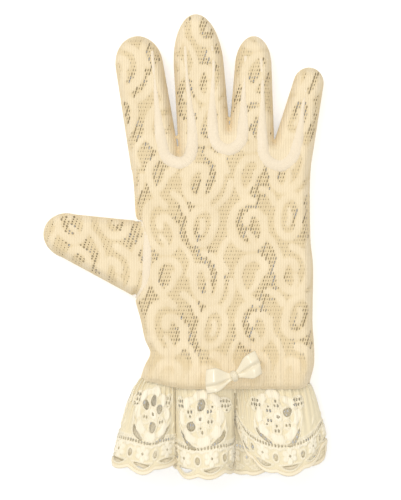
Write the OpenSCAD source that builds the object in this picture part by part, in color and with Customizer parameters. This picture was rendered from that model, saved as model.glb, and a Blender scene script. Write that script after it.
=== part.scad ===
// Bridal glove of stretch lace for the right hand, lying flat with its back up, with a gathered lace
// cuff and a small satin bow. Millimetres. +Y runs to the fingertips, +X to the little finger's side
// and +Z out of the back of the hand. The lace is drawn here as plain walls of even thickness.

/* [Glove] */
// Thickness of the glove as it lies, from palm face to back face
glove_t = 11; // [10:0.5:12]
// Thickness of the lace walls
wall = 0.8; // [0.6:0.1:0.9]
// Width of a raised seam roll
roll_w = 2.2; // [1.6:0.2:2.6]
// Height of a raised seam roll above the lace
roll_h = 1.2; // [0.8:0.2:1.6]
// Clearance at each fold line
fold_gap = 0.3; // [0.2:0.1:0.5]

/* [Index finger] */
// Centre of the index finger at the knuckle line
index_x = -14.7; // [-15.2:0.1:-14.2]
// Lean of the index finger towards the thumb, in degrees
index_lean = 9.3; // [9:0.1:10]
// Length of the index finger from the knuckle line
index_len = 66; // [60:1:70]
// Width of the index finger at the knuckle line
index_base_w = 25; // [24:0.1:25.4]
// Width of the index finger where its tip starts to round
index_tip_w = 24.6; // [20:0.1:25]
// Length of the index finger's rounded tip
index_cap = 13; // [10:1:18]

/* [Middle finger] */
// Centre of the middle finger at the knuckle line
middle_x = 10.4; // [10.2:0.1:10.6]
// Lean of the middle finger towards the thumb, in degrees
middle_lean = 3.4; // [3:0.1:3.6]
// Length of the middle finger from the knuckle line
middle_len = 76.4; // [70:0.2:80]
// Width of the middle finger at the knuckle line
middle_base_w = 27; // [26:0.1:27.2]
// Width of the middle finger where its tip starts to round
middle_tip_w = 26.4; // [22:0.1:26.6]
// Length of the middle finger's rounded tip
middle_cap = 28; // [20:1:32]

/* [Ring finger] */
// Centre of the ring finger at the knuckle line
ring_x = 32.5; // [32.2:0.1:33]
// Lean of the ring finger towards the thumb, in degrees
ring_lean = -1.5; // [-2:0.1:-1]
// Length of the ring finger from the knuckle line
ring_len = 65.3; // [60:0.1:70]
// Width of the ring finger at the knuckle line
ring_base_w = 25; // [24:0.1:25.4]
// Width of the ring finger where its tip starts to round
ring_tip_w = 19; // [16:0.1:20]
// Length of the ring finger's rounded tip
ring_cap = 19; // [14:1:22]

/* [Little finger] */
// Centre of the little finger at the knuckle line
little_x = 51; // [50.8:0.1:51.4]
// Lean of the little finger towards the thumb, in degrees
little_lean = -12.9; // [-13.5:0.1:-12.5]
// Length of the little finger from the knuckle line
little_len = 50.8; // [46:0.2:54]
// Width of the little finger at the knuckle line
little_base_w = 21.6; // [21:0.1:22]
// Width of the little finger where its tip starts to round
little_tip_w = 15; // [14:0.1:16]
// Length of the little finger's rounded tip
little_cap = 8; // [6:1:12]

/* [Thumb] */
// Length of the thumb from its root inside the palm
thumb_len = 53; // [50:1:56]
// Width of the thumb at its root
thumb_base_w = 41.2; // [40:0.2:42]
// Width of the thumb where its tip starts to round
thumb_tip_w = 23.4; // [20:0.2:25]
// Length of the thumb's rounded tip
thumb_cap = 10; // [8:1:14]
// Angle of the thumb away from straight across the hand, in degrees
thumb_rise = 18.3; // [17:0.1:19]

/* [Wrist] */
// Height of the hem at the wrist
hem_t = 12; // [11:0.5:12.5]
// Thickness of the turned hem, which is two layers
hem_wall = 1.2; // [1:0.1:1.3]
// Thickness of the elastic thread's band
elastic_t = 0.6; // [0.4:0.1:0.8]

/* [Cuff] */
// Length of the cuff ruffle at its sides
ruffle_side_len = 33; // [30:1:36]
// Extra length of the cuff ruffle at its middle
ruffle_mid_len = 7.5; // [5:0.5:8]
// Depth of the scallops along the ruffle's edge
scallop = 1.6; // [0.8:0.2:2.4]
// Height of the ruffle between two flutes
valley_h = 7; // [6:0.5:8]
// Height that a flute adds at the edge
flute_h = 10; // [6:0.5:12]

/* [Bow] */
// Reach of each loop from the middle of the knot
loop_len = 14.5; // [12:0.5:16]
// Height of a loop's round end
loop_h = 6; // [5:0.5:6.4]
// Width of the satin ribbon
ribbon_w = 9.5; // [8:0.5:10]
// Thickness of the satin ribbon
ribbon_t = 0.6; // [0.4:0.1:0.8]
// Turn of the bow from straight across the wrist, in degrees
bow_turn = 22; // [15:1:28]

/* [Hidden] */

LACE = [0.94, 0.87, 0.71];
SEAM = [0.97, 0.92, 0.83];
RUFFLE = [0.96, 0.92, 0.82];
SATIN = [0.97, 0.94, 0.86];

knuckle_y = 40;
// Fold line of each finger, a little past the crotches beside it
short_fold_y = 59.5;
long_fold_y = 75;
little_fold_y = 60.5;
thumb_fold_x = -29;
thumb_root = [-20, -7.4];
// The index finger stays this side of the middle finger when both fold back
index_right_limit = -6.2;
LEFT = -1;
RIGHT = 1;

// A finger: [centre x, lean, length, base width, tip width, cap length, fold line]
INDEX = [index_x, index_lean, index_len, index_base_w, index_tip_w, index_cap, short_fold_y];
MIDDLE = [middle_x, middle_lean, middle_len, middle_base_w, middle_tip_w, middle_cap, long_fold_y];
RING = [ring_x, ring_lean, ring_len, ring_base_w, ring_tip_w, ring_cap, long_fold_y];
LITTLE = [little_x, little_lean, little_len, little_base_w, little_tip_w, little_cap, little_fold_y];
FINGERS = [INDEX, MIDDLE, RING, LITTLE];

// Edges of the palm from the wrist up, thumb side and little finger side
THUMB_EDGE = [[-22, -66], [-20.4, -59], [-17.8, -53], [-20.3, -47], [-22.8, -36], [-24.8, -27], [-25, -10],
    [-24.2, 12], [-25.5, 30], [-27.2, 44]];
LITTLE_EDGE = [[62, 44], [62, 28], [62.3, 4], [63.6, -10], [63.3, -36], [64, -48], [63.9, -58], [62.6, -66]];

// The side strips of the fingers stand between the palm's walls and the back's walls
strip_low = 3;
strip_high = glove_t - 3;
half_t = glove_t / 2;
hem_top_y = -57;
hem_end_y = -71;
heading_end_y = -74;
big = 300;

// Middle lines of the seam rolls that turn round the crotches
ROLL_INDEX_MIDDLE = [[-12.8, 59.3], [-12, 53], [-9.5, 45], [-3.2, 41.8], [2, 44.6], [3.7, 54], [2.8, 65],
    [1.8, 74.8]];
ROLL_MIDDLE_RING = [[13.5, 74.8], [13.4, 62], [15, 52.5], [21.3, 48.5], [27.5, 52.5], [28.8, 62], [29, 74.8]];
ROLL_RING_LITTLE = [[38.2, 74.8], [38.2, 52], [40.5, 43.5], [47.5, 40.5], [53.5, 45], [56, 53], [57.2, 60.3]];
// Middle lines of the rolls along the fingers
ROLL_INDEX = [[-12.9, 59.7], [-13.6, 66], [-15.3, 84], [-16.6, 97.5]];
ROLL_MIDDLE_LEFT = [[1.7, 75.2], [0.8, 84], [0.2, 92], [0, 101]];
ROLL_MIDDLE_RIGHT = [[13.5, 75.2], [13.8, 84], [14, 92], [13, 100]];
ROLL_RING_LEFT = [[29, 75.2], [29.4, 84], [30, 95]];
ROLL_RING_RIGHT = [[38.2, 75.2], [38.2, 84], [37.5, 95]];
ROLL_LITTLE = [[57.3, 60.7], [58, 68], [59.6, 78], [61, 83]];
THUMB_SEAM = [[-21, 13], [-19, 4], [-19, -10], [-20.6, -20], [-22.5, -26]];

cap_steps = 14;
loop_steps = 48;
knot_at = [24.9, -64.1];
knot_w = 5;
knot_d = 9;
bow_gap = 0.5;
thread_r = 0.9;

// One point of a Catmull-Rom curve between b and c
function curve_point(a, b, c, d, t) =
    0.5 * (2 * b + (c - a) * t + (2 * a - 5 * b + 4 * c - d) * t * t + (3 * b - a - 3 * c + d) * t * t * t);

// A smooth curve through the points of p, with n steps between two points
function smooth(p, n = 5) = concat(
    [for (i = [0:len(p) - 2]) for (k = [0:n - 1])
        curve_point(p[max(i - 1, 0)], p[i], p[i + 1], p[min(i + 2, len(p) - 1)], k / n)],
    [p[len(p) - 1]]);

// The unit normal of path p at its point i
function normal(p, i) =
    let(d = p[min(i + 1, len(p) - 1)] - p[max(i - 1, 0)])
    [-d[1], d[0]] / norm(d);

// The outline of a band of width w along path p
function band(p, w) = concat(
    [for (i = [0:len(p) - 1]) p[i] + normal(p, i) * w / 2],
    [for (i = [len(p) - 1:-1:0]) p[i] - normal(p, i) * w / 2]);

// A finger's outline from its base at y = 0: straight sides and half an ellipse at the tip
function finger_outline(length, base_w, tip_w, cap, inset) =
    let(half = tip_w / 2 - inset, shoulder = length - cap)
    concat(
        [[base_w / 2 - inset, 0]],
        [for (i = [0:cap_steps]) [half * cos(180 * i / cap_steps), shoulder + (cap - inset) * sin(180 * i / cap_steps)]],
        [[inset - base_w / 2, 0]]);

module finger_face(f, inset = 0) {
    translate([f[0], knuckle_y]) rotate(f[1]) polygon(finger_outline(f[2], f[3], f[4], f[5], inset));
}

module thumb_face(inset = 0) {
    translate(thumb_root) rotate(90 - thumb_rise)
        polygon(finger_outline(thumb_len, thumb_base_w, thumb_tip_w, thumb_cap, inset));
}

module past_fold(f, shift) {
    translate([-big / 2, f[6] + shift]) square([big, big / 2]);
}

// The whole glove above the hem, seen from above, drawn in by inset
module glove_face(inset = 0) {
    offset(r = -inset, $fn = 24) {
        polygon(concat(smooth(THUMB_EDGE), smooth(LITTLE_EDGE)));
        for (f = FINGERS) finger_face(f);
        thumb_face();
    }
}

// The palm with the stubs of the fingers up to their fold lines
module hand_face() {
    difference() {
        glove_face(0);
        for (f = FINGERS) intersection() {
            offset(delta = 0.2) finger_face(f);
            past_fold(f, -fold_gap / 2);
        }
        translate([thumb_fold_x + fold_gap / 2 - big, -big / 2]) square([big, big]);
        translate([-big / 2, hem_top_y - big]) square([big, big]);
    }
}

// Places beside the crotches where the webs stand in for the walls: low corner and size
WEB_ZONES = [[[-9, 44], [10, 32]], [[18.5, 58], [9, 18]], [[40, 46], [11, 30]]];

module web_zone(i) {
    translate(WEB_ZONES[i][0]) square(WEB_ZONES[i][1]);
}

module between(low, high) {
    translate([0, 0, low]) linear_extrude(high - low) children();
}

// The hand's half shell from low to high, open at the wrist, the thumb and the fingers
module hand_shell(low, high, floor_z, roof_z) {
    difference() {
        between(low, high) hand_face();
        between(floor_z, roof_z) glove_face(wall);
        for (i = [0:2]) between(strip_low, strip_high) web_zone(i);
    }
}

module hand_back() {
    color(LACE) hand_shell(half_t, glove_t, 0, glove_t - wall);
}

module hand_palm() {
    color(LACE) hand_shell(0, half_t, wall, glove_t);
}

module web(i) {
    color(LACE) between(strip_low, strip_high) difference() {
        intersection() {
            hand_face();
            web_zone(i);
        }
        glove_face(wall);
    }
}

module web_index_middle() { web(0); }
module web_middle_ring() { web(1); }
module web_ring_little() { web(2); }

// The seam allowance inside the little finger side of the palm
module outer_side_seam() {
    seam_w = 2;
    seam_t = 1;
    color(SEAM) between(half_t - seam_t / 2, half_t + seam_t / 2) difference() {
        intersection() {
            glove_face(wall);
            translate([50, hem_top_y + 6]) square([30, 108]);
        }
        glove_face(wall + seam_w);
        past_fold(LITTLE, -fold_gap / 2);
    }
}

module roll(path, width = roll_w) {
    color(SEAM) between(glove_t, glove_t + roll_h) polygon(band(smooth(path), width));
}

module crotch_roll_index_middle() { roll(ROLL_INDEX_MIDDLE); }
module crotch_roll_middle_ring() { roll(ROLL_MIDDLE_RING); }
module crotch_roll_ring_little() { roll(ROLL_RING_LITTLE); }
module thumb_base_seam() { roll(THUMB_SEAM, 1.4 * roll_w); }

// Half of a finger's shell. sides lists where a side strip stands in for the wall.
module finger_shell(f, sides, low, high, floor_z, roof_z) {
    color(LACE) difference() {
        between(low, high) finger_piece(f);
        between(floor_z, roof_z) finger_face(f, wall);
        for (s = sides) between(strip_low, strip_high) side_zone(f, s);
    }
}

module finger_piece(f) {
    intersection() {
        finger_face(f);
        past_fold(f, fold_gap / 2);
        if (f == INDEX) translate([index_right_limit - big, 0]) square(big);
    }
}

// One side of a finger, up to where its tip starts to round
module side_zone(f, side) {
    translate([f[0], knuckle_y]) rotate(f[1]) translate([side == LEFT ? -30 : 0, 0]) square([30, f[2] - 0.8 * f[5]]);
}

module finger_back(f, sides) { finger_shell(f, sides, half_t, glove_t, 0, glove_t - wall); }
module finger_palm(f, sides) { finger_shell(f, sides, 0, half_t, wall, glove_t); }

// The strip of lace that joins a finger's palm to its back on one side
module fourchette(f, side) {
    color(LACE) between(strip_low, strip_high) difference() {
        intersection() {
            finger_piece(f);
            side_zone(f, side);
        }
        finger_face(f, wall);
    }
}

module index_back() { finger_back(INDEX, [RIGHT]); }
module index_palm() { finger_palm(INDEX, [RIGHT]); }
module index_fourchette() { fourchette(INDEX, RIGHT); }
module index_roll() { roll(ROLL_INDEX); }
module middle_back() { finger_back(MIDDLE, [LEFT, RIGHT]); }
module middle_palm() { finger_palm(MIDDLE, [LEFT, RIGHT]); }
module middle_fourchette_index_side() { fourchette(MIDDLE, LEFT); }
module middle_fourchette_ring_side() { fourchette(MIDDLE, RIGHT); }
module middle_roll_index_side() { roll(ROLL_MIDDLE_LEFT); }
module middle_roll_ring_side() { roll(ROLL_MIDDLE_RIGHT); }
module ring_back() { finger_back(RING, [LEFT, RIGHT]); }
module ring_palm() { finger_palm(RING, [LEFT, RIGHT]); }
module ring_fourchette_middle_side() { fourchette(RING, LEFT); }
module ring_fourchette_little_side() { fourchette(RING, RIGHT); }
module ring_roll_middle_side() { roll(ROLL_RING_LEFT); }
module ring_roll_little_side() { roll(ROLL_RING_RIGHT); }
module little_back() { finger_back(LITTLE, [LEFT]); }
module little_palm() { finger_palm(LITTLE, [LEFT]); }
module little_fourchette() { fourchette(LITTLE, LEFT); }
module little_roll() { roll(ROLL_LITTLE); }

module past_thumb_fold() {
    translate([thumb_fold_x - fold_gap / 2 - big, -big / 2]) square([big, big]);
}

module thumb_shell(low, high, floor_z, roof_z) {
    color(LACE) difference() {
        between(low, high) intersection() {
            thumb_face();
            past_thumb_fold();
        }
        between(floor_z, roof_z) thumb_face(wall);
    }
}

module thumb_back() { thumb_shell(half_t, glove_t, 0, glove_t - wall); }
module thumb_palm() { thumb_shell(0, half_t, wall, glove_t); }

// The seam allowance inside the lower edge of the thumb
module thumb_side_seam() {
    seam_w = 1.5;
    color(SEAM) between(half_t - 0.5, half_t + 0.5) difference() {
        intersection() {
            thumb_face(wall);
            past_thumb_fold();
            translate([-64, -24]) square([60, 24]);
        }
        thumb_face(wall + seam_w);
    }
}

// A closed ring across the wrist: flat ellipses between x0 and x1 and between z0 and z1
function ring_point(x0, x1, y, z0, z1, a) =
    let(c = cos(a), s = sin(a))
    [(x0 + x1) / 2 + (x1 - x0) / 2 * sign(c) * pow(abs(c), 0.25), y,
     (z0 + z1) / 2 + (z1 - z0) / 2 * sign(s) * pow(abs(s), 0.5)];

// The triangles of a tube whose outer and inner skins have rings of n points each, m rings a skin
function tube_faces(n, m) = concat(
    [for (j = [0:m - 2]) for (i = [0:n - 1]) for (f = quad(j * n, i, n, n, false)) f],
    [for (j = [0:m - 2]) for (i = [0:n - 1]) for (f = quad((m + j) * n, i, n, n, true)) f],
    [for (i = [0:n - 1]) for (f = quad(0, i, n, m * n, true)) f],
    [for (i = [0:n - 1]) for (f = quad((m - 1) * n, i, n, m * n, false)) f]);

// Two triangles between the ring that starts at point base and the ring that is step points later
function quad(base, i, n, step, turn) =
    let(a = base + i, b = base + (i + 1) % n, c = b + step, d = a + step)
    turn ? [[a, c, b], [a, d, c]] : [[a, b, c], [a, c, d]];

// A tube through stations [y, x0, x1, z0, z1], with its wall inside them
module wrist_tube(stations, thick) {
    rings = concat(
        [for (s = stations) for (i = [0:loop_steps - 1])
            ring_point(s[1], s[2], s[0], s[3], s[4], 360 * i / loop_steps)],
        [for (s = stations) for (i = [0:loop_steps - 1])
            ring_point(s[1] + thick, s[2] - thick, s[0], s[3] + thick, s[4] - thick, 360 * i / loop_steps)]);
    polyhedron(rings, tube_faces(loop_steps, len(stations)));
}

module wrist_hem() {
    color(SEAM) wrist_tube([[hem_top_y, -19.2, 63.9, 0, hem_t - 1], [-61, -20.8, 63.4, 0, hem_t],
        [-67, -22.4, 61.6, 0, hem_t], [hem_end_y, -22.6, 61.2, 0, hem_t - 0.6]], hem_wall);
}

// The band of elastic thread stitched inside the narrowest part of the wrist
module wrist_elastic() {
    color("ivory") wrist_tube([[-51.5, -16.9, 63, wall, glove_t - wall], [-54.5, -16.9, 63, wall, glove_t - wall]],
        elastic_t);
}

// The gathered top of the ruffle, stitched inside the hem
module ruffle_heading() {
    color(RUFFLE) wrist_tube([[-63, -19, 60.2, 1.6, glove_t - 1.4], [hem_end_y, -20.9, 59.5, 1.6, glove_t - 1.4],
        [heading_end_y, -25.5, 63.5, 0.4, glove_t - 0.5]], wall);
}

// One point of the ruffle. q runs 0 to 1 from its left edge to its right edge and t from the
// gathers to the scalloped edge. up is 1 on the front layer and 0 on the back layer.
function ruffle_point(q, t, up, inset) =
    let(
        x0 = -26.5 - 10.5 * pow(t, 0.8) + inset,
        x1 = 64.3 + 6 * sin(90 * min(1, 1.3 * t)) - inset,
        reach = ruffle_side_len + ruffle_mid_len * sin(180 * q) + scallop * abs(sin(180 * 7 * q)),
        edge = 1 - pow(abs(2 * q - 1), 8),
        middle_z = 4,
        top = glove_t - 0.5 + t * (valley_h - glove_t + 0.5 + flute_h * pow(sin(180 * 3 * q), 2)) - inset,
        low = 0.4 * (1 - t) + inset,
        z = middle_z + (up == 1 ? top - middle_z : low - middle_z) * edge)
    [x0 + (x1 - x0) * q, heading_end_y - fold_gap - t * reach, z];

// A ring of the ruffle: along the front layer to the right, and back along the back layer
function ruffle_ring(t, inset, half_steps) = concat(
    [for (i = [0:half_steps - 1]) ruffle_point(i / half_steps, t, 1, inset)],
    [for (i = [0:half_steps - 1]) ruffle_point(1 - i / half_steps, t, 0, inset)]);

module cuff_ruffle() {
    rows = 5;
    half_steps = 28;
    skin = function(inset) [for (j = [0:rows]) for (p = ruffle_ring(j / rows, inset, half_steps)) p];
    color(RUFFLE) polyhedron(concat(skin(0), skin(wall)),
        [for (f = tube_faces(2 * half_steps, rows + 1)) [f[2], f[1], f[0]]]);
}

// A small stitch that holds the bow on the hem
module bow_tack_thread() {
    color("ivory") translate([knot_at[0], knot_at[1], hem_t - 0.6]) cylinder(h = 0.9, r = thread_r, $fn = 32);
}

module bow_place() {
    translate([knot_at[0], knot_at[1], hem_t + bow_gap + loop_h / 2]) rotate(bow_turn) children();
}

module loop_shape(inset) {
    hull() {
        translate([loop_len - loop_h / 2, 0]) circle(loop_h / 2 - inset, $fn = 32);
        translate([knot_w / 2 + 1.6, 0]) circle(1.4 - inset, $fn = 32);
    }
}

// A loop of ribbon, seen from the ribbon's edge
module ribbon_loop() {
    color(SATIN) bow_place() rotate([90, 0, 0]) linear_extrude(ribbon_w, center = true) difference() {
        loop_shape(0);
        loop_shape(ribbon_t);
    }
}

module bow_right_loop() { ribbon_loop(); }

module bow_left_loop() {
    translate([knot_at[0], knot_at[1], 0]) rotate(180) translate([-knot_at[0], -knot_at[1], 0]) ribbon_loop();
}

module bow_knot() {
    color(SATIN) bow_place() rotate([0, 90, 0]) linear_extrude(knot_w, center = true) hull() {
        for (s = [-1, 1]) translate([0, s * (knot_d - loop_h) / 2]) circle(loop_h / 2, $fn = 32);
    }
}

hand_back();
hand_palm();
outer_side_seam();
thumb_base_seam();
web_index_middle();
web_middle_ring();
web_ring_little();
crotch_roll_index_middle();
crotch_roll_middle_ring();
crotch_roll_ring_little();
wrist_elastic();
wrist_hem();
ruffle_heading();
bow_tack_thread();
cuff_ruffle();
index_back();
index_palm();
index_fourchette();
index_roll();
middle_back();
middle_palm();
middle_fourchette_index_side();
middle_fourchette_ring_side();
middle_roll_index_side();
middle_roll_ring_side();
ring_back();
ring_palm();
ring_fourchette_middle_side();
ring_fourchette_little_side();
ring_roll_middle_side();
ring_roll_little_side();
little_back();
little_palm();
little_fourchette();
little_roll();
thumb_back();
thumb_palm();
thumb_side_seam();
bow_left_loop();
bow_right_loop();
bow_knot();
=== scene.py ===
# %% [markdown]
# # A bridal glove of stretch lace
# One glove lies flat on its palm, fingers up the page and thumb out to the left, with a gathered lace
# cuff and a satin bow at the wrist. Everything here is a surface worked out with numpy in
# millimetres, then put into Blender in metres, in the same frame as the working parts.

import bpy
import numpy as np
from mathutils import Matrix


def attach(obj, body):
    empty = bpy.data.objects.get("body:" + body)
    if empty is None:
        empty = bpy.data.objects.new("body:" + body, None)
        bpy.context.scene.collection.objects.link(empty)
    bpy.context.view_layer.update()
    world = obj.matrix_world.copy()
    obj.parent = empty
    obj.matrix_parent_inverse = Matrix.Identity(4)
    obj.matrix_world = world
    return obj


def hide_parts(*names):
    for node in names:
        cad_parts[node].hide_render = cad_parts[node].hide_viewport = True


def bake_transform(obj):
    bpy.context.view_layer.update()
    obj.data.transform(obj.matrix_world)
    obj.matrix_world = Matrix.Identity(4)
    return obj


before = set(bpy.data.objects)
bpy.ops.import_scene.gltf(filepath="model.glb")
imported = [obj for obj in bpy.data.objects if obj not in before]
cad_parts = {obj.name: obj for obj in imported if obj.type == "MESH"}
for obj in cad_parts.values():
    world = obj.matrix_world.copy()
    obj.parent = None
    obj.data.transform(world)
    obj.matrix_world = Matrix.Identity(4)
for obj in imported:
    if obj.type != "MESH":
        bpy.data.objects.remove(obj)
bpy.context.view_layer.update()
MM = 0.001

# %% [markdown]
# ## Helpers for any sewn piece
# A piece of lace is thousands of small faces, so the mesh is filled from whole arrays. Each point may
# carry marks, such as how much it belongs to the pattern, and a place on the flat cloth before
# sewing, kept as a UV map in centimetres. Materials read those, so a pattern stays on the cloth when
# a finger bends.


# %% Arrays into a mesh
def make_piece(name, points, faces, material, flat=None, marks=None):
    """A smooth mesh object from points in millimetres and a list of face arrays, one for each corner count."""
    corners = np.concatenate([f.ravel() for f in faces]).astype(np.int32)
    sizes = np.concatenate([np.full(len(f), f.shape[1]) for f in faces])
    used, corners = np.unique(corners, return_inverse=True)
    mesh = bpy.data.meshes.new(name)
    mesh.vertices.add(len(used))
    mesh.vertices.foreach_set("co", (points[used] * MM).astype(np.float32).ravel())
    mesh.loops.add(len(corners))
    mesh.loops.foreach_set("vertex_index", corners.astype(np.int32))
    mesh.polygons.add(len(sizes))
    mesh.polygons.foreach_set("loop_start", (np.cumsum(sizes) - sizes).astype(np.int32))
    mesh.polygons.foreach_set("use_smooth", np.ones(len(sizes), bool))
    mesh.update(calc_edges=True)
    flat = points[:, :2] if flat is None else flat
    cloth = mesh.uv_layers.new(name="cloth")
    cloth.data.foreach_set("uv", (flat[used][corners] * 0.1).astype(np.float32).ravel())
    for mark, values in (marks or {}).items():
        layer = mesh.attributes.new(mark, "FLOAT", "POINT")
        layer.data.foreach_set("value", np.broadcast_to(values, len(points))[used].astype(np.float32))
    mesh.materials.append(material)
    piece = bpy.data.objects.new(name, mesh)
    bpy.context.scene.collection.objects.link(piece)
    print(f"{name}: {len(used)} points, {len(sizes)} faces")
    return piece


def grid_faces(rows, columns, closed=False):
    """Four-sided faces over a grid of points kept row by row; closed joins the last column to the first."""
    index = np.arange(rows * columns).reshape(rows, columns)
    if closed:
        index = np.concatenate([index, index[:, :1]], axis=1)
    a, b = index[:-1, :-1], index[:-1, 1:]
    return np.stack([a, b, index[1:, 1:], index[1:, :-1]], axis=-1).reshape(-1, 4)


def smoothstep(low, high, value):
    """0 below low, 1 above high, and an S curve 3t^2 - 2t^3 between."""
    t = np.clip((value - low) / (high - low), 0, 1)
    return t * t * (3 - 2 * t)


def curve_through(points, steps=6):
    """A Catmull-Rom curve: between two points it is the cubic that leaves and arrives along their neighbours."""
    p = np.asarray(points, float)
    ends = np.concatenate([p[:1], p, p[-1:]])
    a, b, c, d = (ends[k : len(ends) - 3 + k, None, :] for k in range(4))
    t = (np.arange(steps) / steps)[None, :, None]
    inner = 2 * b + (c - a) * t + (2 * a - 5 * b + 4 * c - d) * t**2 + (3 * b - a - 3 * c + d) * t**3
    return np.concatenate([0.5 * inner.reshape(-1, p.shape[1]), p[-1:]])


def even_path(points, spacing):
    """The same path with its points an even distance apart, measured along it."""
    along = np.concatenate([[0], np.cumsum(np.linalg.norm(np.diff(points, axis=0), axis=1))])
    marks = np.linspace(0, along[-1], max(3, int(round(along[-1] / spacing)) + 1))
    return np.stack([np.interp(marks, along, points[:, k]) for k in range(points.shape[1])], axis=1)


# %% [markdown]
# ## The shape of the glove as it lies
# The glove is a flat bag: one outline, with a lace face above and another below that meet along a
# folded edge. Each finger is two straight sides closed by half an ellipse and leant about its
# root. The outlines of palm, fingers and thumb are the ones the working parts are cut to.

# %% Outlines of palm, fingers and thumb
GLOVE_T = 11.0  # thickness from palm face to back face
KNUCKLE_Y = 40.0
HEM_TOP_Y = -57.0
HEM_FOOT_Y = -70.2
INDEX = dict(x=-14.6, lean=9.3, length=66.0, base=24.6, tip=23.6, cap=14.5, fold=59.5)
MIDDLE = dict(x=10.4, lean=4.2, length=76.4, base=26.6, tip=24.8, cap=26.0, fold=75.0)
RING = dict(x=32.5, lean=-1.5, length=65.3, base=24.4, tip=18.2, cap=15.5, fold=75.0)
LITTLE = dict(x=51.5, lean=-13.3, length=50.8, base=21.6, tip=15.0, cap=8.0, fold=60.5)
FINGERS = dict(index=INDEX, middle=MIDDLE, ring=RING, little=LITTLE)
THUMB = dict(length=53.0, base=38.4, tip=22.2, cap=12.5, rise=17.2, root=(-19.6, -6.1), fold_x=-29.0)
BEND = 7.0  # cloth bends this far either side of a fold line

THUMB_EDGE = [(-24.4, -80), (-24.0, -71.5), (-22.5, -65.8), (-20.3, -59), (-17.4, -52.5), (-20.0, -46), (-22.2, -36),
              (-24.5, -27.5), (-25, -10), (-24.2, 12), (-25.5, 30), (-27.2, 44)]
LITTLE_EDGE = [(62.8, 44), (62, 30), (62.3, 4), (63.6, -10), (63.3, -36), (64, -48), (64.1, -58), (62.2, -66),
               (61.6, -71.5), (61.0, -80)]
THUMB_SEAM = [(-21, 13), (-19, 4), (-19, -10), (-20.6, -20), (-24.2, -25.4)]


def tapered_outline(length, base, tip, cap):
    """Straight sides from base width to tip width, closed by half an ellipse of the cap's length."""
    a = np.linspace(0, np.pi, 25)
    tip_arc = np.stack([tip / 2 * np.cos(a), length - cap + cap * np.sin(a)], axis=1)
    return np.concatenate([[[base / 2, 0]], tip_arc, [[-base / 2, 0]]])


def turned(points, degrees, place):
    """Points turned counter-clockwise about the origin and moved to a place."""
    c, s = np.cos(np.radians(degrees)), np.sin(np.radians(degrees))
    return points @ np.array([[c, s], [-s, c]]) + np.asarray(place)


def finger_outline(f):
    """A finger's own outline, leant about the middle of its root."""
    return turned(tapered_outline(f["length"], f["base"], f["tip"], f["cap"]), f["lean"], (f["x"], KNUCKLE_Y))


palm_outline = np.concatenate([curve_through(THUMB_EDGE), curve_through(LITTLE_EDGE)])
finger_outlines = {name: finger_outline(f) for name, f in FINGERS.items()}
thumb_angle = 90 - THUMB["rise"]
thumb_outline = turned(
    tapered_outline(THUMB["length"], THUMB["base"], THUMB["tip"], THUMB["cap"]), thumb_angle, THUMB["root"]
)
print("outlines:", len(finger_outlines) + 2)

# %% [markdown]
# ## How far a point is from the folded edge
# The lace rises from its folded edge in a quarter of a wave and then lies level, so its height
# depends on the distance to the nearest edge. The edge of the whole glove is every stretch of
# outline that is not inside another outline.


# %% Distance to the folded edge
def is_inside(points, outline):
    """A point is inside when a ray to its right crosses the outline an odd number of times."""
    a, b = outline, np.roll(outline, -1, axis=0)
    x, y = points[:, :1], points[:, 1:2]
    spans = (a[:, 1] > y) != (b[:, 1] > y)
    rise = np.where(b[:, 1] == a[:, 1], 1, b[:, 1] - a[:, 1])
    crossing = a[:, 0] + (y - a[:, 1]) * (b[:, 0] - a[:, 0]) / rise
    return (spans & (x < crossing)).sum(axis=1) % 2 == 1


def outer_edges(outlines):
    """Short stretches of all outlines, start and end points, without those inside another outline."""
    starts, ends = [], []
    for k, outline in enumerate(outlines):
        loop = even_path(np.concatenate([outline, outline[:1]]), 0.9)
        middle = (loop[:-1] + loop[1:]) / 2
        hidden = np.zeros(len(middle), bool)
        for other in outlines[:k] + outlines[k + 1 :]:
            hidden |= is_inside(middle, other)
        starts.append(loop[:-1][~hidden])
        ends.append(loop[1:][~hidden])
    return np.concatenate(starts), np.concatenate(ends)


def nearest_edge(points, edges, block=4000):
    """Distance to the nearest stretch of edge, and the nearest point on it."""
    a, b = edges
    run = b - a
    away, nearest = [], []
    for part in np.array_split(points, len(points) // block + 1):
        offset = part[:, None] - a
        t = np.clip((offset * run).sum(-1) / (run**2).sum(-1), 0, 1)
        miss = offset - t[..., None] * run
        square = (miss**2).sum(-1)
        best = square.argmin(axis=1)
        row = np.arange(len(part))
        away.append(np.sqrt(square[row, best]))
        nearest.append(part - miss[row, best])
    return np.concatenate(away), np.concatenate(nearest)


whole_outlines = [palm_outline, *finger_outlines.values(), thumb_outline]
whole_edges = outer_edges(whole_outlines)
print("folded edge:", round(float(np.linalg.norm(whole_edges[1] - whole_edges[0], axis=1).sum())), "mm round")

# %% [markdown]
# ## Height of the two lace faces
# The back face stands `GLOVE_T` high and rolls over to the folded edge. An empty glove of thin
# lace is never quite level, so long soft waves and, near the wrist, fine gathers are added.

# %% Height of the lace
EDGE_Z = 4.8  # height of the folded edge
BACK_ROLL = 4.6  # width over which the back rolls down to the edge
PALM_ROLL = 5.0
PALM_Z = 0.35
HEM_PUFF, FOOT_DROP = 2.4, 4.5  # the hem lace rises over the hem, then drops at its foot


def hem_lift(x):
    """How far the foot of the hem rises towards the two sides: an S curve at each side."""
    return 4.3 * smoothstep(2, -24, x) + 1.3 * smoothstep(54, 62, x)


def gathers(x, strength):
    """Fine folds across the wrist: two sine waves of different lengths."""
    return strength * (0.6 * np.sin(2 * np.pi * x / 3.3 + np.sin(x / 7)) + 0.4 * np.sin(2 * np.pi * x / 5.1 + 1))


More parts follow.
